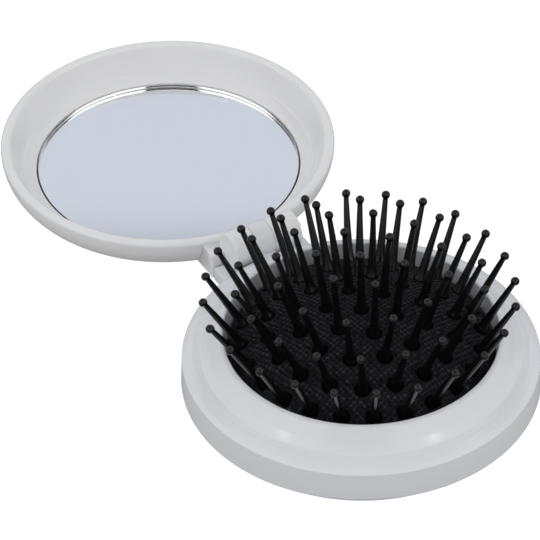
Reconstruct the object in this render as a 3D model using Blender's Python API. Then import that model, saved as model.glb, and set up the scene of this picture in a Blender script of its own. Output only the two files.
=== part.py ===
"""Folding pop-up hairbrush with a mirror lid, opened flat with its pins raised.

A round white cup holds a domed rubber cushion full of nylon pins. A lid with a mirror in it
swings on a hinge at the cup's edge, and a raised ring holds the cushion's bead down in the cup.
The hinge runs along X, the cup lies towards -Y and the lid towards +Y, and both stand on z = 0.
Lengths below are millimetres.
"""
import math

import bmesh
import bpy
from mathutils import Matrix, Vector

MM = 0.001
GAP = 0.3                  # clearance between separate pieces

# Driving dimensions
CUP_R = 32.5               # outer radius of the cup
LID_R = 32.0               # outer radius of the lid
CENTRES = 72.3             # distance between the centres of the cup and the lid
RIM_Z = 11.2               # height of both rims
CUP_Y = -CENTRES / 2
LID_Y = CENTRES / 2

# Cup
FOOT_R = 25.0              # the cup stands on the flat ring inside this radius
WALL_FOOT_Z = 5.2          # the upright wall starts here, above the sloped underside
WALL = 1.8
FLOOR = 1.6
THUMB_R = 15.0             # opening underneath, where a thumb pushes the cushion up
RIB_R = 24.9               # inner radius of the rib that carries the cushion's bead
RIB_WALL = 2.0
RIB_TOP_Z = RIM_Z - 4.3
SEAM_R = 29.65             # seam between the cup and the raised ring

# Raised ring
LIP_R = 24.7               # radius of the opening that the cushion stands in
LIP_Z = RIM_Z + 5.2
RING_FOOT_Z = RIM_Z - 2.3

# Cushion
APEX_Z = RIM_Z + 10.35     # top of the dome
DOME = 0.0140              # fall of the dome per square millimetre of radius
SHOULDER_R = 22.5          # the dome turns down into its side wall here
SIDE_R = 23.7              # outside of the side wall
BEAD_R = 27.0
SHEET = 1.0                # thickness of the rubber
HOLE_R = 1.65

# Pins
PIN_LENGTH = 12.3          # from the cushion's surface to the centre of the ball
BALL_R = 0.8
FOOT_PIN_R = 1.6
PHASE = math.radians(80)   # direction of the ray that all the rings of pins share
PIN_SIDES = 6
# name, pins in the ring, radius, outward lean, hinge radius and the height it hinges at,
# both above the rim plane: the cushion's rolling edge turns each ring about that line
OUTER = ("outer_pin", 24, 21.5, math.radians(29.7), 30.1, -1.0)
MIDDLE = ("middle_pin", 18, 16.8, math.radians(24.9), 31.9, -0.15)
INNER = ("inner_pin_pair", 12, 11.5, math.radians(17.3), 47.2, 0.5)
CENTRE_RING_R = 6.2
CENTRE_RING_LEAN = math.radians(6.8)
CENTRE_PINS = 6
PLATE_R = 8.0              # foot plate under the cushion that ties the seven centre pins
PLATE_DROP = 2.3           # from the dome's top to the plate's upper face
PLATE = 0.9

# Lid
LID_DEPTH = RIM_Z
MIRROR_R = 25.1
MIRROR_DROP = 5.9          # from the lid's rim down to the mirror's face
GLASS = 1.9
PAD = 0.7
PAD_R = 22.0

# Hinge
HINGE_Z = RIM_Z + 0.9      # height of the hinge's axis
HINGE_HALF = 9.5           # half the width of the blocks that carry the knuckles
KNUCKLES_HALF = 7.0        # half the length of the three knuckles together
KNUCKLE_R = 3.5
CUP_KNUCKLE = (-2.45, 1.15)    # the cup's knuckle lies between the lid's two
PIN_R = 1.0
BORE_R = 1.35
BORE_START = -6.2          # the bore is blind at this end
BLOCK_FOOT = 5.8           # depth of the hinge blocks below the rims
SHELF_DROP = 2.9           # the cup's block stays this far below the rims
STEP = 0.06                # keeps the faces of joined shapes out of one plane

WHITE = ((0.80, 0.80, 0.82), 0.25, 0.0)
BLACK_RUBBER = ((0.02, 0.02, 0.022), 0.6, 0.0)
BLACK_NYLON = ((0.012, 0.012, 0.014), 0.3, 0.0)
SILVER = ((0.86, 0.88, 0.92), 0.03, 1.0)
STEEL = ((0.6, 0.6, 0.62), 0.3, 1.0)
FOAM = ((0.75, 0.75, 0.73), 0.9, 0.0)


def clear_scene():
    for obj in list(bpy.data.objects):
        bpy.data.objects.remove(obj, do_unlink=True)


def finish(name, bm, look, place=None):
    """Turn a bmesh in millimetres into an object in metres, with its own material."""
    bmesh.ops.remove_doubles(bm, verts=bm.verts, dist=0.0005)
    bmesh.ops.recalc_face_normals(bm, faces=bm.faces)
    bmesh.ops.scale(bm, vec=(MM, MM, MM), verts=bm.verts)
    mesh = bpy.data.meshes.new(name)
    bm.to_mesh(mesh)
    bm.free()
    obj = bpy.data.objects.new(name, mesh)
    bpy.context.scene.collection.objects.link(obj)
    paint(obj, look)
    if place is not None:
        obj.matrix_world = place
    return obj


def paint(obj, look):
    colour, roughness, metallic = look
    material = bpy.data.materials.new(obj.name)
    material.use_nodes = True
    shader = material.node_tree.nodes["Principled BSDF"]
    shader.inputs["Base Color"].default_value = (*colour, 1.0)
    shader.inputs["Roughness"].default_value = roughness
    shader.inputs["Metallic"].default_value = metallic
    obj.data.materials.clear()
    obj.data.materials.append(material)
    obj.data.shade_smooth()
    obj.data.set_sharp_from_angle(angle=math.radians(35))


def at(x, y, z):
    return Matrix.Translation((x * MM, y * MM, z * MM))


def turned(name, profile, look, sides, centre_y=0.0):
    """Spin an outline of (radius, z) points about the vertical through (0, centre_y).

    An outline that starts on the axis ends there too. Any other closes on itself, to a ring.
    """
    bm = bmesh.new()
    verts = [bm.verts.new((r, 0.0, z)) for r, z in profile]
    edges = [bm.edges.new(pair) for pair in zip(verts, verts[1:])]
    if profile[0][0] > 0:
        edges.append(bm.edges.new((verts[-1], verts[0])))
    bmesh.ops.spin(bm, geom=verts + edges, cent=(0, 0, 0), axis=(0, 0, 1), angle=math.tau,
                   steps=sides, use_merge=True)
    bmesh.ops.dissolve_degenerate(bm, dist=0.0005, edges=bm.edges)
    bmesh.ops.translate(bm, vec=(0, centre_y, 0), verts=bm.verts)
    return finish(name, bm, look)


def box(name, low, high, look=WHITE):
    bm = bmesh.new()
    bmesh.ops.create_cube(bm, size=1.0)
    size = Vector(high) - Vector(low)
    middle = (Vector(high) + Vector(low)) / 2
    bmesh.ops.scale(bm, vec=size, verts=bm.verts)
    bmesh.ops.translate(bm, vec=middle, verts=bm.verts)
    return finish(name, bm, look)


def rod_along_x(name, radius, x0, x1, look, sides):
    """A round rod on the hinge's axis."""
    bm = bmesh.new()
    bmesh.ops.create_cone(bm, cap_ends=True, segments=sides, radius1=radius, radius2=radius,
                          depth=x1 - x0)
    bmesh.ops.rotate(bm, cent=(0, 0, 0), matrix=Matrix.Rotation(math.pi / 2, 3, "Y"),
                     verts=bm.verts)
    bmesh.ops.translate(bm, vec=((x0 + x1) / 2, 0, HINGE_Z), verts=bm.verts)
    return finish(name, bm, look)


def combine(obj, others, operation):
    """Join the others to an object, or cut them from it, and remove them."""
    for other in others:
        modifier = obj.modifiers.new(other.name, "BOOLEAN")
        modifier.object = other
        modifier.operation = operation
        modifier.solver = "EXACT"
    graph = bpy.context.evaluated_depsgraph_get()
    mesh = bpy.data.meshes.new_from_object(obj.evaluated_get(graph))
    obj.modifiers.clear()
    obj.data = mesh
    for other in others:
        bpy.data.objects.remove(other, do_unlink=True)
    return obj


def dome_z(r):
    return APEX_Z - DOME * r * r


# ---------------------------------------------------------------- cup

def base_shell():
    """The cup: an upright wall, a sloped underside with a thumb opening, and its hinge knuckle."""
    inside = CUP_R - WALL
    outline = [(THUMB_R, 0.5), (THUMB_R + 0.5, 0.0), (FOOT_R, 0.0), (CUP_R - 0.9, WALL_FOOT_Z - 0.8),
               (CUP_R - 0.25, WALL_FOOT_Z - 0.2), (CUP_R, WALL_FOOT_Z + 0.5),
               (CUP_R, RIM_Z - 0.7), (CUP_R - 0.3, RIM_Z - 0.2), (CUP_R - 1.2, RIM_Z + 0.35),
               (CUP_R - 2.0, RIM_Z + 0.75), (SEAM_R + GAP, RIM_Z + 0.8),
               (SEAM_R + GAP, RIM_Z - 0.6), (inside, RIM_Z - 1.4),
               (inside, WALL_FOOT_Z + 0.5), (inside - 2.2, FLOOR),
               (RIB_R + RIB_WALL, FLOOR), (RIB_R + RIB_WALL, RIB_TOP_Z), (RIB_R, RIB_TOP_Z),
               (RIB_R, FLOOR), (THUMB_R + 0.4, FLOOR), (THUMB_R, FLOOR - 0.4)]
    cup = turned("base_shell", outline, WHITE, 56, CUP_Y)
    block = box("cup_block", (-HINGE_HALF, -14.0, RIM_Z - BLOCK_FOOT),
                (HINGE_HALF, 1.2, RIM_Z - SHELF_DROP))
    start, end = CUP_KNUCKLE
    web = box("knuckle_web", (start + STEP, -3.9, RIM_Z - SHELF_DROP - 0.5),
              (end - STEP, 1.2 - STEP, RIM_Z + 0.2))
    hollow = turned("cup_hollow", [(0, -2.0), (CUP_R - 0.8, -2.0), (CUP_R - 0.8, 2 * RIM_Z),
                                   (0, 2 * RIM_Z)], WHITE, 56, CUP_Y)
    block = combine(block, [web], "UNION")
    block = combine(block, [hollow], "DIFFERENCE")
    knuckle = rod_along_x("cup_knuckle", KNUCKLE_R, start, end, WHITE, 24)
    cup = combine(cup, [block, knuckle], "UNION")
    bore = rod_along_x("cup_bore", BORE_R, -2 * HINGE_HALF, 2 * HINGE_HALF, WHITE, 16)
    cup = combine(cup, [bore], "DIFFERENCE")
    paint(cup, WHITE)
    return cup


def bezel_ring():
    """The raised cone that snaps into the cup and holds the cushion's bead down."""
    outline = [(LIP_R + 0.15, LIP_Z - 0.5), (LIP_R + 0.6, LIP_Z - 0.05), (LIP_R + 1.1, LIP_Z - 0.25),
               (LIP_R + 2.6, LIP_Z - 1.75), (SEAM_R - 0.9, RIM_Z + 1.55), (SEAM_R, RIM_Z + 1.1),
               (SEAM_R, RIM_Z - 0.9), (SEAM_R - 1.6, RIM_Z - 0.9), (SEAM_R - 1.6, RING_FOOT_Z),
               (LIP_R + 0.3, RING_FOOT_Z), (LIP_R, RING_FOOT_Z + 0.4), (LIP_R, LIP_Z - 0.9)]
    return turned("bezel_ring", outline, WHITE, 56, CUP_Y)


def ring_places(count, offset=0.0):
    return [PHASE + offset + math.tau * i / count for i in range(count)]


def pin_outline():
    """Half outline of a pin along +z: flat foot under the rubber, flared root, shaft, ball."""
    foot_low = -(SHEET + GAP + 1.0)
    ball = [(BALL_R * math.cos(math.radians(a)), PIN_LENGTH + BALL_R * math.sin(math.radians(a)))
            for a in (-25, 30)]
    return [(0, foot_low), (FOOT_PIN_R, foot_low), (FOOT_PIN_R, -(SHEET + GAP)), (1.2, -SHEET),
            (1.2, 0.6), (0.8, 3.4), (0.5, PIN_LENGTH - 0.7)] + ball + [(0, PIN_LENGTH + BALL_R)]


def pin_mesh(name, place):
    """One pin, standing on the cushion where the matrix says, in millimetres."""
    bm = bmesh.new()
    verts = [bm.verts.new((r, 0.0, z)) for r, z in pin_outline()]
    edges = [bm.edges.new(pair) for pair in zip(verts, verts[1:])]
    bmesh.ops.spin(bm, geom=verts + edges, cent=(0, 0, 0), axis=(0, 0, 1), angle=math.tau,
                   steps=PIN_SIDES, use_merge=True)
    bmesh.ops.dissolve_degenerate(bm, dist=0.0005, edges=bm.edges)
    bmesh.ops.transform(bm, matrix=place, verts=bm.verts)
    return finish(name, bm, BLACK_NYLON)


def leaning(radius, lean, turn=0.0):
    """Place of a pin's root: out along the radius, tipped outward, square to the dome."""
    return (Matrix.Rotation(turn, 4, "Z") @ Matrix.Translation((radius, 0, dome_z(radius)))
            @ Matrix.Rotation(lean, 4, "Y"))


def cushion():
    """The rubber dome: one sheet with a side wall, a bead at its foot and a hole for each pin."""
    rings = (0.0, 6.2, 11.5, 16.8, 20.5, SHOULDER_R)
    top = [(r, dome_z(r)) for r in rings]
    shoulder_z = dome_z(SHOULDER_R)
    bead_top = RING_FOOT_Z - GAP
    bead_low = RIB_TOP_Z + GAP
    outside = [(SHOULDER_R + 0.8, shoulder_z - 0.7), (SIDE_R, shoulder_z - 1.9),
               (SIDE_R, bead_top - 0.6), (SIDE_R + 0.6, bead_top), (BEAD_R, bead_top),
               (BEAD_R, bead_low), (SIDE_R, bead_low)]
    inside = [(SIDE_R - SHEET, bead_low + 0.5), (SIDE_R - SHEET, shoulder_z - 2.2)]
    under = [(r * (1 - SHEET / 70), dome_z(r) - SHEET) for r in reversed(rings)]
    sheet = turned("cushion", top + outside + inside + under, BLACK_RUBBER, 36, CUP_Y)
    cutters = bmesh.new()
    for _, count, radius, lean, _, _ in (OUTER, MIDDLE, INNER):
        for turn in ring_places(count):
            hole(cutters, leaning(radius, lean, turn))
    for turn in ring_places(CENTRE_PINS):
        hole(cutters, leaning(CENTRE_RING_R, CENTRE_RING_LEAN, turn))
    hole(cutters, leaning(0, 0))
    holes = finish("cushion_holes", cutters, BLACK_RUBBER, at(0, CUP_Y, 0))
    sheet = combine(sheet, [holes], "DIFFERENCE")
    paint(sheet, BLACK_RUBBER)
    return sheet


def hole(bm, place):
    bmesh.ops.create_cone(bm, cap_ends=True, segments=6, radius1=HOLE_R, radius2=HOLE_R,
                          depth=4.0, matrix=place)


def ring_pins():
    """Single pins of the two outer rings, each hung on the line that its ring turns about."""
    for name, count, radius, lean, hinge_r, hinge_h in (OUTER, MIDDLE):
        pivot = Matrix.Translation((hinge_r, 0, RIM_Z + hinge_h))
        for number, turn in enumerate(ring_places(count), 1):
            pin = pin_mesh(f"{name}_{number:02d}", pivot.inverted() @ leaning(radius, lean))
            pin.matrix_world = (at(0, CUP_Y, 0) @ Matrix.Rotation(turn, 4, "Z")
                                @ at(hinge_r, 0, RIM_Z + hinge_h))


def inner_pin_pairs():
    """The inner ring: its pins stand two by two on a shared foot under the rubber."""
    name, count, radius, lean, hinge_r, hinge_h = INNER
    half = math.pi / count
    back = Matrix.Translation((hinge_r, 0, RIM_Z + hinge_h)).inverted()
    foot_z = dome_z(radius) - SHEET - GAP - 0.75
    for number, turn in enumerate(ring_places(count // 2, half), 1):
        pair = pin_mesh(f"{name}_{number}", back @ leaning(radius, lean, -half))
        other = pin_mesh("other_pin", back @ leaning(radius, lean, half))
        reach = radius * math.sin(half)
        bar = box("foot_bar", (-0.8, -reach, -0.4), (0.8, reach, 0.4), BLACK_NYLON)
        offset = radius * math.cos(half) - hinge_r - 0.55
        bar.matrix_world = at(offset, 0, foot_z - RIM_Z - hinge_h) @ Matrix.Rotation(lean, 4, "Y")
        pair = combine(pair, [other, bar], "UNION")
        paint(pair, BLACK_NYLON)
        pair.matrix_world = (at(0, CUP_Y, 0) @ Matrix.Rotation(turn, 4, "Z")
                             @ at(hinge_r, 0, RIM_Z + hinge_h))


def centre_pins():
    """The seven middle pins on one round foot plate, which a thumb pushes from below."""
    plate_top = APEX_Z - PLATE_DROP
    plate = turned("centre_pins", [(0, plate_top), (PLATE_R - 0.4, plate_top),
                                   (PLATE_R, plate_top - 0.3), (PLATE_R, plate_top - PLATE),
                                   (0, plate_top - PLATE)], BLACK_NYLON, 24)
    pins = [pin_mesh("middle", leaning(0, 0))]
    pins += [pin_mesh(f"around_{i}", leaning(CENTRE_RING_R, CENTRE_RING_LEAN, turn))
             for i, turn in enumerate(ring_places(CENTRE_PINS))]
    plate = combine(plate, pins, "UNION")
    paint(plate, BLACK_NYLON)
    plate.matrix_world = at(0, CUP_Y, 0)
    return plate


# ---------------------------------------------------------------- lid

def lid_outside():
    """Outer outline of the lid, from its middle to the rim: (radius, depth below the rim)."""
    side = [(LID_R - 6.3 + 6.3 * math.cos(math.radians(a)), 0.8 + 5.6 * math.sin(math.radians(a)))
            for a in (48, 36, 24, 12, 0)]
    return [(0, LID_DEPTH), (22.6, LID_DEPTH), (23.6, LID_DEPTH - 0.35)] + side


def lid_shell():
    """The lid: a round dish, mirror side up when open, with the two outer hinge knuckles."""
    seat = MIRROR_DROP + GLASS + PAD + 2 * GAP
    rim = [(LID_R - 0.1, 0.35), (31.65, 0.2), (31.3, 0.45)]
    inner = [(30.9, 1.0), (28.6, 3.55), (27.3, 4.75), (MIRROR_R + 0.9, MIRROR_DROP - 0.35),
             (MIRROR_R + GAP, MIRROR_DROP - 0.1), (MIRROR_R + GAP, seat), (0, seat)]
    depths = lid_outside() + rim + inner
    outline = [(r, RIM_Z - d) for r, d in depths]
    lid = turned("lid_shell", outline, WHITE, 56, LID_Y)
    block = box("lid_block", (STEP - HINGE_HALF, 1.5, RIM_Z - BLOCK_FOOT),
                (HINGE_HALF - STEP, 14.0, RIM_Z - 0.35))
    core = turned("lid_core", [(0, -1.0), (27.5, -1.0), (28.7, RIM_Z - BLOCK_FOOT),
                               (30.6, RIM_Z - 2.2), (31.5, RIM_Z - 1.0), (31.5, 2 * RIM_Z),
                               (0, 2 * RIM_Z)], WHITE, 56, LID_Y)
    start, end = CUP_KNUCKLE
    room = rod_along_x("knuckle_room", KNUCKLE_R + 0.45, start - GAP + STEP, end + GAP - STEP,
                       WHITE, 24)
    block = combine(block, [core, room], "DIFFERENCE")
    left = rod_along_x("left_knuckle", KNUCKLE_R, -KNUCKLES_HALF, start - GAP, WHITE, 24)
    right = rod_along_x("right_knuckle", KNUCKLE_R, end + GAP, KNUCKLES_HALF, WHITE, 24)
    lid = combine(lid, [block, left, right], "UNION")
    bore = rod_along_x("lid_bore", BORE_R, BORE_START, 2 * HINGE_HALF, WHITE, 16)
    lid = combine(lid, [bore], "DIFFERENCE")
    paint(lid, WHITE)
    return lid


def mirror():
    face = RIM_Z - MIRROR_DROP
    return turned("mirror", [(0, face), (MIRROR_R - 0.2, face), (MIRROR_R, face - 0.2),
                             (MIRROR_R, face - GLASS), (0, face - GLASS)], SILVER, 56, LID_Y)


def mirror_pad():
    top = RIM_Z - MIRROR_DROP - GLASS - GAP
    return turned("mirror_pad", [(0, top), (PAD_R, top), (PAD_R, top - PAD), (0, top - PAD)],
                  FOAM, 40, LID_Y)


def hinge_pin():
    return rod_along_x("hinge_pin", PIN_R, BORE_START + 0.2, KNUCKLES_HALF - 0.2, STEEL, 14)


def main():
    clear_scene()
    base_shell()
    bezel_ring()
    cushion()
    ring_pins()
    inner_pin_pairs()
    centre_pins()
    lid_shell()
    mirror()
    mirror_pad()
    hinge_pin()


main()
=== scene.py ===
"""Looks for the folding mirror hairbrush: smooth mouldings, a netted rubber cushion, ball-tipped pins.

Lengths below are millimetres unless a name says otherwise. The hinge runs along X, the cup lies
towards -Y and the lid towards +Y.
"""
import math
import random

import bmesh
import bpy
from mathutils import Matrix, Vector


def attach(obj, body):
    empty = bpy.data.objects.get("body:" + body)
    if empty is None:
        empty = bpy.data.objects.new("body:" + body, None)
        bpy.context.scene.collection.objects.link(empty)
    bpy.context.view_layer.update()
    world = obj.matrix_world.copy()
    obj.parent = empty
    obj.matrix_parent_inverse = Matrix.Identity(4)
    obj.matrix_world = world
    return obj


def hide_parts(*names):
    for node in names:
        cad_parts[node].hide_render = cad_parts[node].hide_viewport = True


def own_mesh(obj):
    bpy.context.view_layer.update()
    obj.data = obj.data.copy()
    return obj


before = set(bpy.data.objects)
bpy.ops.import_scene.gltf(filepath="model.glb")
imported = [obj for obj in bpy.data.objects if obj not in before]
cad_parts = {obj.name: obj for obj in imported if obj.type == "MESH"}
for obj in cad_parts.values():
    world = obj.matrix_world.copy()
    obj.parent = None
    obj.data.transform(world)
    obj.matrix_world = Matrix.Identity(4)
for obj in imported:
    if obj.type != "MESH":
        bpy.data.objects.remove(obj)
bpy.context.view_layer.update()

MM = 0.001
AROUND = 192               # steps round a large turned piece

# Cup and lid, each turned about its own centre
RIM = 11.2                 # height of both rims
CUP_Y = -36.15
LID_Y = 36.15
SEAM_R = 29.5              # the cup's wall ends here, a little inside the foot of the ring
SEAM_LAP = 0.35
RING_BORE = 24.1
RING_TOP = RIM + 5.3
LID_SIDE_R = 25.7          # centre of the lid's rounded side
LID_SIDE_OUT = 6.3
LID_SIDE_DOWN = 6.9
MIRROR_R = 25.1
MIRROR_FACE = RIM - 5.9
PANE = 1.66                # thickness of the mirror's glass
FILM_GAP = 0.02
FILM = 0.20

# Hinge, with its knuckles in a row along X
HINGE = RIM + 0.9          # height of its axis
BLOCK_HALF = 9.5
BLOCK_FOOT = RIM - 5.8
KNUCKLE_R = 3.5
KNUCKLE_BORE = 1.1
KNUCKLE_END = 7.0
MIDDLE_FROM = -2.52
MIDDLE_TO = 1.22
KNUCKLE_GAP = 0.08

# Cushion and pins
APEX = RIM + 10.35
DOME = 0.0140
DOME_EDGE = 22.5
SIDE_R = 23.7
SKIN = 1.0                 # thickness of the rubber
NET = 0.84                 # spacing of the moulded net's ridges
NET_DEPTH = 0.30
NET_TURN = math.radians(13.9)
PHASE = math.radians(80)
PIN_LENGTH = 12.3
BALL_R = 0.8
# name, pins in the ring, radius, outward lean
OUTER = ("outer_pin", 24, 21.5, math.radians(29.7))
MIDDLE = ("middle_pin", 18, 16.8, math.radians(24.9))
INNER = ("inner_pin_pair", 12, 11.5, math.radians(17.3))
CENTRE = ("centre_pins", 6, 6.2, math.radians(6.8))
# Worn brush: every pin sways a little one way, and the outer ones on one side are splayed
SWAY = math.radians(1.1)
SWAY_AXIS = Vector((-0.5165, -0.8563, 0.0))
OUTER_BIAS = math.radians(2.0)
BIAS_SIDE = math.radians(128)
TILT = 0.6                 # spread of each pin's own tilt, in degrees
BOW = 0.0018

# Nylon foot plate of the centre pins
PLATE_R = 8.0
PLATE_TOP = APEX - 2.4
PLATE_FOOT = APEX - 3.2

# Camera
CAMERA_AT = Vector((-0.27066, -0.48487, 0.46931))
CAMERA_TARGET = Vector((-0.00252, -0.00769, 0.01120))
CAMERA_LENS_MM = 258.6
CAMERA_ROLL = math.radians(-0.79)

# Studio, in metres, watts and degrees
SOFT_BOX_SIZE = 0.06
SOFT_BOX_POWER = 0.16
SOFT_BOX_AWAY = 0.9
SOFT_BOX_UP = 42
FACING = -4                # azimuth that the sky's panels are measured from
SKY_TONE = (0.38, 0.38, 0.39, 1)
# azimuth to either side, elevation, softness of the sides, tone; later ones lie over earlier ones
SKY_PANELS = (
    ((150, 190), (10, 62), 3, (0.65, 0.68, 0.755, 1)),          # pale, seen in the mirror
    ((-20, 25), (-5, 80), 1.5, (0.92, 0.92, 0.93, 1)),
    ((-20, 25), (32, 54), 1.5, (0.015, 0.015, 0.017, 1)),       # dark gap on the camera's side
    ((103, 150), (6, 68), 3, (1.05, 1.05, 1.06, 1)),
    ((103, 147), (33, 52), 2, (0.015, 0.015, 0.017, 1)),
    ((25, 103), (8, 58), 1.5, (1.28, 1.28, 1.29, 1)))           # the two broad white panels
FLOOR_TONE = (0.12, 0.12, 0.12, 1)
FLOOR_GLOW = 0.25
FLOOR_GLOW_SEEN = 1.0

random.seed(24)


# ------------------------------------------------------------------ shapes

def rounded(corners, closed=True, steps=6):
    """Outline of (radius, z, rounding) corners, with an arc at each corner that has a rounding."""
    outline = []
    count = len(corners)
    for i, (r, z, size) in enumerate(corners):
        here = Vector((r, z))
        if size == 0 or (not closed and i in (0, count - 1)):
            outline.append(here)
            continue
        back = (Vector(corners[i - 1][:2]) - here).normalized()
        ahead = (Vector(corners[(i + 1) % count][:2]) - here).normalized()
        half = back.angle(ahead) / 2
        middle = here + (back + ahead).normalized() * (size / math.sin(half))
        start = here + back * (size / math.tan(half)) - middle
        end = here + ahead * (size / math.tan(half)) - middle
        sweep = start.angle_signed(end)
        for step in range(steps + 1):
            turn = Matrix.Rotation(-sweep * step / steps, 2)
            outline.append(middle + turn @ start)
    return outline


def spun(bm, outline, axis, steps):
    """Spin an outline of (radius, distance along the axis) points into a closed skin."""
    if axis == "Z":
        verts = [bm.verts.new((r, 0.0, along)) for r, along in outline]
        direction = (0, 0, 1)
    else:
        verts = [bm.verts.new((along, 0.0, r)) for r, along in outline]
        direction = (1, 0, 0)
    edges = [bm.edges.new(pair) for pair in zip(verts, verts[1:])]
    if outline[0][0] > 0:
        edges.append(bm.edges.new((verts[-1], verts[0])))
    bmesh.ops.spin(bm, geom=verts + edges, cent=(0, 0, 0), axis=direction, angle=math.tau,
                   steps=steps, use_merge=True)
    bmesh.ops.remove_doubles(bm, verts=bm.verts, dist=0.0004)
    bmesh.ops.dissolve_degenerate(bm, dist=0.0004, edges=bm.edges)


def piece(name, bm, material, sharp=40):
    """Finish a bmesh in millimetres as an object in metres."""
    bmesh.ops.recalc_face_normals(bm, faces=bm.faces)
    bmesh.ops.scale(bm, vec=(MM, MM, MM), verts=bm.verts)
    mesh = bpy.data.meshes.new(name)
    bm.to_mesh(mesh)
    bm.free()
    obj = bpy.data.objects.new(name, mesh)
    bpy.context.scene.collection.objects.link(obj)
    if material is not None:
        mesh.materials.append(material)
    mesh.shade_smooth()
    mesh.set_sharp_from_angle(angle=math.radians(sharp))
    return obj


def turned(name, outline, material, centre_y=0.0, steps=AROUND):
    bm = bmesh.new()
    spun(bm, outline, "Z", steps)
    bmesh.ops.translate(bm, vec=(0, centre_y, 0), verts=bm.verts)
    return piece(name, bm, material)


def hinge_rod(name, corners, material):
    """A piece turned about the hinge's axis, from (radius, x, rounding) corners."""
    bm = bmesh.new()
    solid = corners[0][0] == 0
    spun(bm, rounded(corners, closed=not solid), "X", 72)
    bmesh.ops.translate(bm, vec=(0, 0, HINGE), verts=bm.verts)
    return piece(name, bm, material)


def block(name, low, high, material, rounding):
    bm = bmesh.new()
    bmesh.ops.create_cube(bm, size=1.0)
    bmesh.ops.scale(bm, vec=Vector(high) - Vector(low), verts=bm.verts)
    bmesh.ops.translate(bm, vec=(Vector(high) + Vector(low)) / 2, verts=bm.verts)
    bmesh.ops.bevel(bm, geom=bm.edges[:], offset=rounding, offset_type="OFFSET", segments=4,
                    profile=0.5, affect="EDGES", material=-1)
    return piece(name, bm, material)


def cut(obj, cutter):
    """Cut one finished piece from another and remove the cutter."""
    modifier = obj.modifiers.new("cut", "BOOLEAN")
    modifier.object = cutter
    modifier.operation = "DIFFERENCE"
    modifier.solver = "EXACT"
    graph = bpy.context.evaluated_depsgraph_get()
    mesh = bpy.data.meshes.new_from_object(obj.evaluated_get(graph))
    obj.modifiers.clear()
    obj.data = mesh
    bpy.data.objects.remove(cutter, do_unlink=True)


# --------------------------------------------------------------- materials

def node_group(name, sockets_in, sockets_out):
    group = bpy.data.node_groups.new(name, "ShaderNodeTree")
    for label, kind, value in sockets_in:
        socket = group.interface.new_socket(label, in_out="INPUT", socket_type=kind)
        if value is not None:
            socket.default_value = value
    for label, kind in sockets_out:
        group.interface.new_socket(label, in_out="OUTPUT", socket_type=kind)
    return group, group.nodes.new("NodeGroupInput"), group.nodes.new("NodeGroupOutput")


def moulding_group():
    """Tone, roughness and height of a moulded surface: slow mottling plus a fine grain."""
    group, given, result = node_group(
        "moulded_surface",
        [("Vector", "NodeSocketVector", None), ("Light Colour", "NodeSocketColor", None),
         ("Dark Colour", "NodeSocketColor", None), ("Mottle Scale", "NodeSocketFloat", 60.0),
         ("Grain Scale", "NodeSocketFloat", 900.0), ("Smooth", "NodeSocketFloat", 0.2),
         ("Rough", "NodeSocketFloat", 0.3)],
        [("Colour", "NodeSocketColor"), ("Roughness", "NodeSocketFloat"),
         ("Height", "NodeSocketFloat")])
    nodes, links = group.nodes, group.links
    mottle = nodes.new("ShaderNodeTexNoise")
    mottle.inputs["Detail"].default_value = 3.0
    grain = nodes.new("ShaderNodeTexNoise")
    grain.inputs["Detail"].default_value = 2.0
    colour = nodes.new("ShaderNodeMix")
    colour.data_type = "RGBA"
    rough = nodes.new("ShaderNodeMapRange")
    height = nodes.new("ShaderNodeMath")
    height.operation = "ADD"
    for texture, scale in ((mottle, "Mottle Scale"), (grain, "Grain Scale")):
        links.new(given.outputs["Vector"], texture.inputs["Vector"])
        links.new(given.outputs[scale], texture.inputs["Scale"])
    links.new(mottle.outputs["Fac"], colour.inputs["Factor"])
    links.new(given.outputs["Light Colour"], colour.inputs["A"])
    links.new(given.outputs["Dark Colour"], colour.inputs["B"])
    links.new(grain.outputs["Fac"], rough.inputs["Value"])
    links.new(given.outputs["Smooth"], rough.inputs["To Min"])
    links.new(given.outputs["Rough"], rough.inputs["To Max"])
    links.new(mottle.outputs["Fac"], height.inputs[0])
    links.new(grain.outputs["Fac"], height.inputs[1])
    links.new(colour.outputs["Result"], result.inputs["Colour"])
    links.new(rough.outputs["Result"], result.inputs["Roughness"])
    links.new(height.outputs["Value"], result.inputs["Height"])
    return group


MOULDING = moulding_group()


def moulded(name, light, dark, smooth, rough, mottle, grain, relief, **fixed):
    """A moulded material: the group's colour, roughness and height on a Principled shader."""
    material = bpy.data.materials.new(name)
    material.use_nodes = True
    nodes, links = material.node_tree.nodes, material.node_tree.links
    shader = nodes["Principled BSDF"]
    place = nodes.new("ShaderNodeTexCoord")
    surface = nodes.new("ShaderNodeGroup")
    surface.node_tree = MOULDING
    surface.inputs["Light Colour"].default_value = (*light, 1.0)
    surface.inputs["Dark Colour"].default_value = (*dark, 1.0)
    surface.inputs["Mottle Scale"].default_value = mottle
    surface.inputs["Grain Scale"].default_value = grain
    surface.inputs["Smooth"].default_value = smooth
    surface.inputs["Rough"].default_value = rough
    bump = nodes.new("ShaderNodeBump")
    bump.inputs["Strength"].default_value = 1.0
    bump.inputs["Distance"].default_value = relief
    links.new(place.outputs["Object"], surface.inputs["Vector"])
    links.new(surface.outputs["Colour"], shader.inputs["Base Color"])
    links.new(surface.outputs["Roughness"], shader.inputs["Roughness"])
    links.new(surface.outputs["Height"], bump.inputs["Height"])
    links.new(bump.outputs["Normal"], shader.inputs["Normal"])
    for socket, value in fixed.items():
        shader.inputs[socket.replace("_", " ")].default_value = value
    return material


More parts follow.
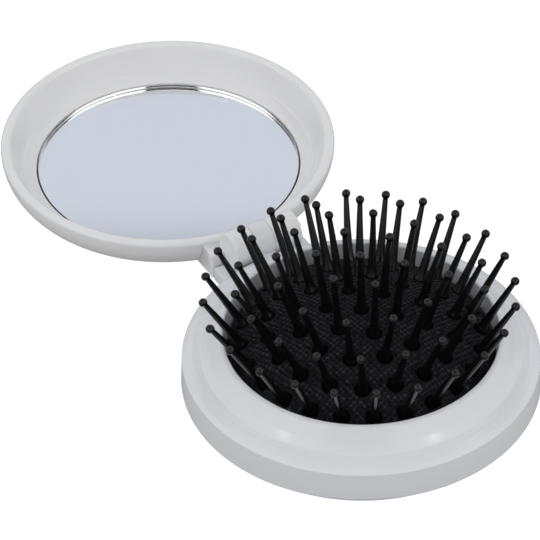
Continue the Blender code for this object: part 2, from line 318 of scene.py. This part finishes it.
WHITE_ABS = moulded("white_abs", (0.785, 0.797, 0.825), (0.768, 0.780, 0.808), 0.16, 0.22,
                    40.0, 900.0, 1.5e-6)
LID_ABS = moulded("white_abs_lid", (0.850, 0.852, 0.856), (0.834, 0.836, 0.840), 0.16, 0.22,
                  40.0, 900.0, 1.5e-6)
RUBBER = moulded("black_rubber", (0.0032, 0.0034, 0.0046), (0.0018, 0.0019, 0.0028), 0.30, 0.44,
                 400.0, 3000.0, 6.0e-6, Specular_IOR_Level=0.11)
NYLON = moulded("black_nylon", (0.0050, 0.0050, 0.0054), (0.0035, 0.0035, 0.0038), 0.09, 0.14,
                250.0, 900.0, 1.0e-7, Specular_IOR_Level=0.36)
SILVER = moulded("mirror_silver", (0.93, 0.945, 0.96), (0.925, 0.94, 0.955), 0.010, 0.016,
                 30.0, 400.0, 1.0e-8, Metallic=1.0)
GLASS = moulded("mirror_glass", (1.0, 1.0, 1.0), (0.995, 1.0, 1.0), 0.0, 0.002, 20.0, 300.0,
                1.0e-9, Transmission_Weight=1.0, IOR=1.5)
STEEL = moulded("hinge_steel", (0.62, 0.62, 0.63), (0.52, 0.52, 0.53), 0.22, 0.36,
                200.0, 3000.0, 2.0e-6, Metallic=1.0)
FOAM = moulded("pad_foam", (0.78, 0.78, 0.76), (0.68, 0.68, 0.66), 0.8, 0.95,
               300.0, 2500.0, 5.0e-5)


def painted_ridge_glints(material, attribute, tone):
    """Painted highlight along the ridges: a lighter tone stands in for their glints, in patches set by
    noise, and the rubber is smoother there.
    """
    nodes, links = material.node_tree.nodes, material.node_tree.links
    shader = nodes["Principled BSDF"]
    ridge = nodes.new("ShaderNodeAttribute")
    ridge.attribute_name = attribute
    sharp = nodes.new("ShaderNodeMapRange")
    sharp.inputs["From Min"].default_value = 0.68
    links.new(ridge.outputs["Fac"], sharp.inputs["Value"])
    place = nodes.new("ShaderNodeTexCoord")
    # noise that breaks the painted ridge highlight into patches
    patch = nodes.new("ShaderNodeTexNoise")
    patch.inputs["Scale"].default_value = 1300.0
    patch.inputs["Detail"].default_value = 1.0
    links.new(place.outputs["Object"], patch.inputs["Vector"])
    kept = nodes.new("ShaderNodeMapRange")
    kept.inputs["From Min"].default_value = 0.38
    kept.inputs["From Max"].default_value = 0.66
    links.new(patch.outputs["Fac"], kept.inputs["Value"])
    both = nodes.new("ShaderNodeMath")
    both.operation = "MULTIPLY"
    links.new(sharp.outputs["Result"], both.inputs[0])
    links.new(kept.outputs["Result"], both.inputs[1])
    colour = nodes.new("ShaderNodeMix")
    colour.data_type = "RGBA"
    links.new(shader.inputs["Base Color"].links[0].from_socket, colour.inputs["A"])
    # painted highlight: the lighter tone laid on the ridges in place of glints
    colour.inputs["B"].default_value = (*tone, 1.0)
    links.new(both.outputs["Value"], colour.inputs["Factor"])
    links.new(colour.outputs["Result"], shader.inputs["Base Color"])
    rough = nodes.new("ShaderNodeMix")
    links.new(shader.inputs["Roughness"].links[0].from_socket, rough.inputs["A"])
    rough.inputs["B"].default_value = 0.22
    links.new(both.outputs["Value"], rough.inputs["Factor"])
    links.new(rough.outputs["Result"], shader.inputs["Roughness"])


# painted highlight on the net's ridges, standing in for the glints they catch
painted_ridge_glints(RUBBER, "ridge", (0.066, 0.071, 0.086))


# --------------------------------------------------------------------- cup

def cup():
    """The cup's wall, foot, and the rib that stands under the cushion's bead."""
    outline = rounded([
        (15.0, 0.0, 0.4), (25.0, 0.0, 1.5), (32.45, 5.6, 0.7), (32.2, RIM - 0.05, 0.22),
        (31.3, RIM + 0.62, 1.6), (30.2, RIM + 1.22, 0.8), (SEAM_R, RIM + 1.36, 0.1),
        (SEAM_R, RIM - 0.6, 0), (30.7, RIM - 1.4, 0.2), (30.7, 5.7, 0.8), (28.5, 1.6, 0.8),
        (26.9, 1.6, 0.3), (26.9, 6.9, 0.3), (24.9, 6.9, 0.3), (24.9, 1.6, 0.3), (15.0, 1.6, 0.5)])
    return turned("cup_wall", outline, WHITE_ABS, CUP_Y)


def ring():
    """The raised ring: a bore that opens upwards, a rounded lip, and a hollow outer slope."""
    foot = SEAM_R + SEAM_LAP
    outline = rounded([
        (RING_BORE, RIM - 2.3, 0.2), (RING_BORE, RIM + 2.2, 0.6), (RING_BORE + 0.62, RING_TOP, 0.35),
        (RING_BORE + 1.55, RING_TOP - 0.18, 0.6), (27.5, RIM + 2.95, 5.0), (28.95, RIM + 1.62, 1.0),
        (foot, RIM + 1.32, 0.1), (foot, RIM - 0.9, 0.1), (28.05, RIM - 0.9, 0.1),
        (28.05, RIM - 2.3, 0.2)])
    return turned("raised_ring", outline, WHITE_ABS, CUP_Y)


def cup_hinge():
    """The cup's shelf and its knuckle on a short web."""
    shelf = block("cup_hinge_shelf", (-BLOCK_HALF, -5.3, BLOCK_FOOT), (BLOCK_HALF, 1.2, RIM - 2.9),
                  WHITE_ABS, 0.3)
    web = block("cup_hinge_web", (-2.4, -4.2, RIM - 3.2), (1.1, 1.0, RIM + 0.1), WHITE_ABS, 0.2)
    knuckle = hinge_rod("cup_knuckle",
                        [(KNUCKLE_BORE, MIDDLE_FROM, 0.1), (KNUCKLE_R, MIDDLE_FROM, 0.12),
                         (KNUCKLE_R, MIDDLE_TO, 0.12), (KNUCKLE_BORE, MIDDLE_TO, 0.1)], WHITE_ABS)
    return [shelf, web, knuckle]


# ----------------------------------------------------------------- cushion

def dome_z(r):
    return APEX - DOME * r * r


def pin_roots():
    """Every pin as (body, root radius, lean, direction it stands in)."""
    roots = []
    for name, count, radius, lean in (OUTER, MIDDLE):
        for i in range(count):
            roots.append((f"{name}_{i + 1:02d}", radius, lean, PHASE + math.tau * i / count))
    name, count, radius, lean = INNER
    for i in range(count):
        roots.append((f"{name}_{i // 2 + 1}", radius, lean, PHASE + math.tau * i / count))
    name, count, radius, lean = CENTRE
    for i in range(count):
        roots.append((name, radius, lean, PHASE + math.tau * i / count))
    roots.append((name, 0.0, 0.0, 0.0))
    return roots


ROOTS = pin_roots()


def smoothstep(low, high, value):
    t = min(max((value - low) / (high - low), 0.0), 1.0)
    return t * t * (3 - 2 * t)


def cushion():
    """The rubber dome: a net of fine ridges on top, a dimple at each pin, and a side wall."""
    quarter = NET / 4
    cells = 8 * math.ceil(DOME_EDGE * 1.02 / NET)
    bm = bmesh.new()
    bmesh.ops.create_grid(bm, x_segments=cells, y_segments=cells, size=quarter * cells / 2)
    # per-vertex mask of the ridges that carry the painted highlight
    ridge_glint_mask = bm.verts.layers.float.new("ridge")
    holes = [(r * math.cos(a), r * math.sin(a)) for _, r, _, a in ROOTS]
    turn = Matrix.Rotation(NET_TURN, 3, "Z")
    for vert in bm.verts:
        x, y = vert.co.x, vert.co.y
        on_ridge = round(x / quarter) % 4 == 0 or round(y / quarter) % 4 == 0
        place = turn @ vert.co
        r = math.hypot(place.x, place.y)
        near = min(math.hypot(place.x - hx, place.y - hy) for hx, hy in holes)
        clear = smoothstep(1.5, 1.9, near)
        relief = 0.0 if on_ridge else -NET_DEPTH * (1 - smoothstep(21.6, 22.3, r)) * clear
        vert[ridge_glint_mask] = clear if on_ridge else 0.0
        collar = 0.16 * smoothstep(1.2, 1.6, near) * (1 - smoothstep(1.6, 2.3, near))
        dimple = -0.7 * (1 - smoothstep(1.0, 1.45, near))
        vert.co = (place.x, place.y, dome_z(min(r, DOME_EDGE)) + relief + collar + dimple)
    outside = [v for v in bm.verts if math.hypot(v.co.x, v.co.y) > DOME_EDGE - 0.12]
    bmesh.ops.delete(bm, geom=outside, context="VERTS")
    loose = [v for v in bm.verts if not v.link_faces]
    bmesh.ops.delete(bm, geom=loose, context="VERTS")
    edge = [e for e in bm.edges if e.is_boundary]
    shoulder = dome_z(DOME_EDGE)
    for vert in {v for e in edge for v in e.verts}:
        grow = DOME_EDGE / math.hypot(vert.co.x, vert.co.y)
        vert.co = (vert.co.x * grow, vert.co.y * grow, shoulder)
    inside = SIDE_R - SKIN
    under = [(r, dome_z(r) - SKIN, 0) for r in (16.0, 9.0, 3.0)]
    side = rounded([(DOME_EDGE, shoulder, 0), (SIDE_R, shoulder - 0.75, 0.9), (SIDE_R, 8.8, 0.2),
                    (inside, 8.8, 0.2), (inside, shoulder - 1.6, 0.8)] + under, closed=False)
    for r, z in side[1:]:
        edge = skirt(bm, edge, r, z)
    bmesh.ops.contextual_create(bm, geom=edge)
    bmesh.ops.translate(bm, vec=(0, CUP_Y, 0), verts=bm.verts)
    return piece("cushion_dome", bm, RUBBER, sharp=60)


def skirt(bm, edge, r, z):
    """Carry the open edge on to radius r at height z."""
    grown = bmesh.ops.extrude_edge_only(bm, edges=edge)["geom"]
    for vert in (g for g in grown if isinstance(g, bmesh.types.BMVert)):
        scale = r / math.hypot(vert.co.x, vert.co.y)
        vert.co = (vert.co.x * scale, vert.co.y * scale, z)
    return [g for g in grown if isinstance(g, bmesh.types.BMEdge) and g.is_boundary]


def bead():
    outline = rounded([(SIDE_R, 7.2, 0.3), (27.0, 7.2, 0.4), (27.0, 8.6, 0.4), (SIDE_R, 8.6, 0.3)])
    return turned("cushion_bead", outline, RUBBER, CUP_Y)


# -------------------------------------------------------------------- pins

def pin_outline():
    """Half outline along +z, from the foot under the rubber to the top of the ball."""
    shaft = [(0, -2.3), (1.5, -2.3), (1.6, -2.2), (1.6, -1.4), (1.5, -1.3), (1.25, -1.2),
             (1.16, 0.0), (1.02, 0.5), (0.88, 1.2), (0.80, 2.2), (0.75, 3.4), (0.68, 5.2),
             (0.61, 7.2), (0.55, 9.2), (0.50, 10.8), (0.48, 11.45)]
    ball = [(BALL_R * math.cos(math.radians(a)), PIN_LENGTH + BALL_R * math.sin(math.radians(a)))
            for a in range(-51, 90, 14)]
    return shaft + ball + [(0, PIN_LENGTH + BALL_R)]


def add_pin(bm, radius, lean, direction):
    """One pin in a bmesh, with the slight tilt and bow that a nylon pin picks up."""
    pin = bmesh.new()
    spun(pin, pin_outline(), "Z", 20)
    bow = random.uniform(-1, 1) * BOW, random.uniform(-1, 1) * BOW
    for vert in pin.verts:
        if vert.co.z > 0:
            vert.co.x += bow[0] * vert.co.z ** 2
            vert.co.y += bow[1] * vert.co.z ** 2
    lean += OUTER_BIAS * max(0.0, math.cos(direction - BIAS_SIDE)) * (radius / OUTER[2]) ** 2
    tilt = Matrix.Rotation(math.radians(random.gauss(0, TILT)), 4, "X")
    tilt = tilt @ Matrix.Rotation(math.radians(random.gauss(0, TILT)), 4, "Y")
    place = (Matrix.Translation((0, CUP_Y, 0)) @ Matrix.Rotation(direction, 4, "Z")
             @ Matrix.Translation((radius, 0, dome_z(radius))) @ Matrix.Rotation(-direction, 4, "Z")
             @ Matrix.Rotation(SWAY, 4, SWAY_AXIS) @ Matrix.Rotation(direction, 4, "Z")
             @ Matrix.Rotation(lean, 4, "Y") @ tilt)
    bmesh.ops.transform(pin, matrix=place, verts=pin.verts)
    mesh = bpy.data.meshes.new("pin")
    pin.to_mesh(mesh)
    pin.free()
    bm.from_mesh(mesh)
    bpy.data.meshes.remove(mesh)


def pins():
    """All the pins, one piece to each body that carries them."""
    by_body = {}
    for body, radius, lean, direction in ROOTS:
        if body not in by_body:
            by_body[body] = bmesh.new()
        add_pin(by_body[body], radius, lean, direction)
    plate = bmesh.new()
    spun(plate, rounded([(0, PLATE_TOP, 0), (PLATE_R, PLATE_TOP, 0.3), (PLATE_R, PLATE_FOOT, 0.3),
                         (0, PLATE_FOOT, 0)], closed=False), "Z", 64)
    bmesh.ops.translate(plate, vec=(0, CUP_Y, 0), verts=plate.verts)
    mesh = bpy.data.meshes.new("plate")
    plate.to_mesh(mesh)
    plate.free()
    by_body["centre_pins"].from_mesh(mesh)
    bpy.data.meshes.remove(mesh)
    for body, bm in by_body.items():
        pin = piece(f"{body}_nylon", bm, NYLON, sharp=60)
        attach(pin, body)
        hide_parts(body)


# --------------------------------------------------------------------- lid

def lid():
    """The lid: a rounded side, a thick rim, and a dished inside with a flat for the mirror."""
    side = [(LID_SIDE_R + LID_SIDE_OUT * math.cos(math.radians(a)),
             RIM - 0.6 - LID_SIDE_DOWN * math.sin(math.radians(a)), 0) for a in range(52, -1, -4)]
    corners = ([(0, 0, 0), (23.0, 0.0, 1.2)] + side
               + [(32.0, RIM + 0.18, 0.75), (30.2, RIM + 0.20, 0.75), (29.5, RIM - 1.5, 2.5),
                  (27.9, RIM - 4.95, 0.9), (26.4, RIM - 5.5, 1.0), (25.45, RIM - 5.72, 0.15),
                  (25.40, RIM - 9.0, 0), (0, RIM - 9.0, 0)])
    return turned("lid_dish", rounded(corners, closed=False), LID_ABS, LID_Y)


def lid_hinge():
    """The lid's block and its two knuckles."""
    base = block("lid_hinge_block", (-BLOCK_HALF, 1.5, BLOCK_FOOT), (BLOCK_HALF, 11.0, RIM - 0.35),
                 LID_ABS, 0.3)
    core = [(0, -1.0), (27.5, -1.0), (28.7, BLOCK_FOOT), (30.6, RIM - 2.2), (31.5, RIM - 1.0),
            (31.5, 2 * RIM), (0, 2 * RIM)]
    cut(base, turned("lid_core", core, None, LID_Y))
    room_r = KNUCKLE_R + 0.45
    room_from, room_to = MIDDLE_FROM - 0.23, MIDDLE_TO + 0.23
    cut(base, hinge_rod("knuckle_room", [(0, room_from, 0), (room_r, room_from, 0),
                                         (room_r, room_to, 0), (0, room_to, 0)], None))
    left_to, right_from = MIDDLE_FROM - KNUCKLE_GAP, MIDDLE_TO + KNUCKLE_GAP
    left = hinge_rod("left_knuckle", [(0, -KNUCKLE_END, 0), (KNUCKLE_R, -KNUCKLE_END, 0.35),
                                      (KNUCKLE_R, left_to, 0.12), (0, left_to, 0)], LID_ABS)
    right = hinge_rod("right_knuckle",
                      [(KNUCKLE_BORE, right_from, 0.1), (KNUCKLE_R, right_from, 0.12),
                       (KNUCKLE_R, KNUCKLE_END, 0.35), (KNUCKLE_BORE, KNUCKLE_END, 0.15)], LID_ABS)
    return [base, left, right]


def mirror():
    """A glass disc with polished edges, and the silver film behind it."""
    disc = []
    for name, top, thick, edge, material in (
            ("mirror_glass", MIRROR_FACE, PANE, 0.05, GLASS),
            ("mirror_film", MIRROR_FACE - PANE - FILM_GAP, FILM, 0.02, SILVER)):
        outline = rounded([(0, top, 0), (MIRROR_R, top, edge), (MIRROR_R, top - thick, edge),
                           (0, top - thick, 0)], closed=False)
        disc.append(turned(name, outline, material, LID_Y))
    return disc


# ------------------------------------------------------------------- stage

def toward(azimuth, elevation):
    """Unit vector at an azimuth from the camera's side, turning to its right, and an elevation."""
    side = math.atan2(CAMERA_AT.y - CAMERA_TARGET.y, CAMERA_AT.x - CAMERA_TARGET.x)
    a, e = side + math.radians(azimuth), math.radians(elevation)
    return Vector((math.cos(a) * math.cos(e), math.sin(a) * math.cos(e), math.sin(e)))


def soft_box(name, azimuth):
    """A small square light that gives each ball and shaft its highlight."""
    data = bpy.data.lights.new(name, "AREA")
    data.shape = "SQUARE"
    data.size = SOFT_BOX_SIZE
    data.energy = SOFT_BOX_POWER
    light = bpy.data.objects.new(name, data)
    bpy.context.scene.collection.objects.link(light)
    light.location = toward(azimuth, SOFT_BOX_UP) * SOFT_BOX_AWAY
    light.rotation_euler = (-light.location).to_track_quat("-Z", "Y").to_euler()


def between(tree, value, low, high, soft):
    """Mask that is one where value lies from low to high, with a soft edge."""
    edges = []
    for start, end in ((low - soft, low + soft), (high + soft, high - soft)):
        edge = tree.nodes.new("ShaderNodeMapRange")
        edge.interpolation_type = "SMOOTHSTEP"
        edge.inputs["From Min"].default_value = start
        edge.inputs["From Max"].default_value = end
        tree.links.new(value, edge.inputs["Value"])
        edges.append(edge.outputs["Result"])
    both = tree.nodes.new("ShaderNodeMath")
    both.operation = "MULTIPLY"
    tree.links.new(edges[0], both.inputs[0])
    tree.links.new(edges[1], both.inputs[1])
    return both.outputs["Value"]


def sky():
    """Grey sky with the panels laid over it, the same on the left as on the right."""
    world = bpy.data.worlds.new("studio")
    bpy.context.scene.world = world
    world.use_nodes = True
    tree = world.node_tree
    nodes, links = tree.nodes, tree.links
    place = nodes.new("ShaderNodeTexCoord")
    parts = []
    for axis in (toward(FACING, 0), toward(FACING + 90, 0)):
        dot = nodes.new("ShaderNodeVectorMath")
        dot.operation = "DOT_PRODUCT"
        dot.inputs[1].default_value = axis
        links.new(place.outputs["Generated"], dot.inputs[0])
        parts.append(dot.outputs["Value"])
    sideways = nodes.new("ShaderNodeMath")
    sideways.operation = "ABSOLUTE"
    links.new(parts[1], sideways.inputs[0])
    azimuth = nodes.new("ShaderNodeMath")
    azimuth.operation = "ARCTAN2"
    links.new(sideways.outputs["Value"], azimuth.inputs[0])
    links.new(parts[0], azimuth.inputs[1])
    split = nodes.new("ShaderNodeSeparateXYZ")
    links.new(place.outputs["Generated"], split.inputs["Vector"])
    colour = None
    for (low, high), (bottom, top), soft, tone in SKY_PANELS:
        round_mask = between(tree, azimuth.outputs["Value"], math.radians(low), math.radians(high),
                             math.radians(soft))
        up_mask = between(tree, split.outputs["Z"], math.sin(math.radians(bottom)),
                          math.sin(math.radians(top)), 0.04)
        both = nodes.new("ShaderNodeMath")
        both.operation = "MULTIPLY"
        links.new(round_mask, both.inputs[0])
        links.new(up_mask, both.inputs[1])
        mix = nodes.new("ShaderNodeMix")
        mix.data_type = "RGBA"
        links.new(both.outputs["Value"], mix.inputs["Factor"])
        mix.inputs["A"].default_value = SKY_TONE
        if colour is not None:
            links.new(colour, mix.inputs["A"])
        mix.inputs["B"].default_value = tone
        colour = mix.outputs["Result"]
    links.new(colour, nodes["Background"].inputs["Color"])


def studio():
    """White floor, the sky with its panels, and two small soft boxes for the highlights."""
    bm = bmesh.new()
    bmesh.ops.create_grid(bm, x_segments=1, y_segments=1, size=3000.0)
    bmesh.ops.translate(bm, vec=(0, 0, -0.05), verts=bm.verts)
    material = bpy.data.materials.new("floor_white")
    material.use_nodes = True
    shader = material.node_tree.nodes["Principled BSDF"]
    shader.inputs["Base Color"].default_value = FLOOR_TONE
    shader.inputs["Roughness"].default_value = 0.9
    shader.inputs["Specular IOR Level"].default_value = 0.0
    shader.inputs["Emission Color"].default_value = (1, 1, 1, 1)
    lights = material.node_tree.nodes.new("ShaderNodeLightPath")
    glow = material.node_tree.nodes.new("ShaderNodeMapRange")
    glow.inputs["To Min"].default_value = FLOOR_GLOW
    glow.inputs["To Max"].default_value = FLOOR_GLOW_SEEN
    material.node_tree.links.new(lights.outputs["Is Camera Ray"], glow.inputs["Value"])
    material.node_tree.links.new(glow.outputs["Result"], shader.inputs["Emission Strength"])
    floor = piece("floor", bm, material)
    sky()
    soft_box("left_soft_box", -56)
    soft_box("right_soft_box", 52)


def camera():
    data = bpy.data.cameras.new("camera")
    data.lens = CAMERA_LENS_MM
    data.sensor_width = 36.0
    data.clip_start = 0.01
    view = bpy.data.objects.new("camera", data)
    bpy.context.scene.collection.objects.link(view)
    aim = (CAMERA_TARGET - CAMERA_AT).to_track_quat("-Z", "Y").to_matrix().to_4x4()
    view.matrix_world = (Matrix.Translation(CAMERA_AT) @ aim
                         @ Matrix.Rotation(CAMERA_ROLL, 4, "Z"))
    bpy.context.scene.camera = view


# ---------------------------------------------------------------- assembly

def place_white(obj, body, *nodes):
    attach(obj, body)
    if nodes:
        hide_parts(*nodes)


def main():
    camera()
    studio()
    bpy.context.scene.view_settings.view_transform = "Standard"

    place_white(cup(), "base", "base_shell")
    place_white(ring(), "base", "bezel_ring")
    for obj in cup_hinge():
        place_white(obj, "base")
    place_white(lid(), "lid", "lid_shell")
    for obj in lid_hinge():
        place_white(obj, "lid")

    for obj in mirror():
        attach(obj, "lid")
        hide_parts("mirror")

    dome = cushion()
    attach(dome, "base")
    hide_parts("cushion")
    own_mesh(dome)
    rim = bead()
    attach(rim, "base")
    pins()

    for name, material in (("mirror_pad", FOAM), ("hinge_pin", STEEL)):
        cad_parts[name].material_slots[0].material = material


main()
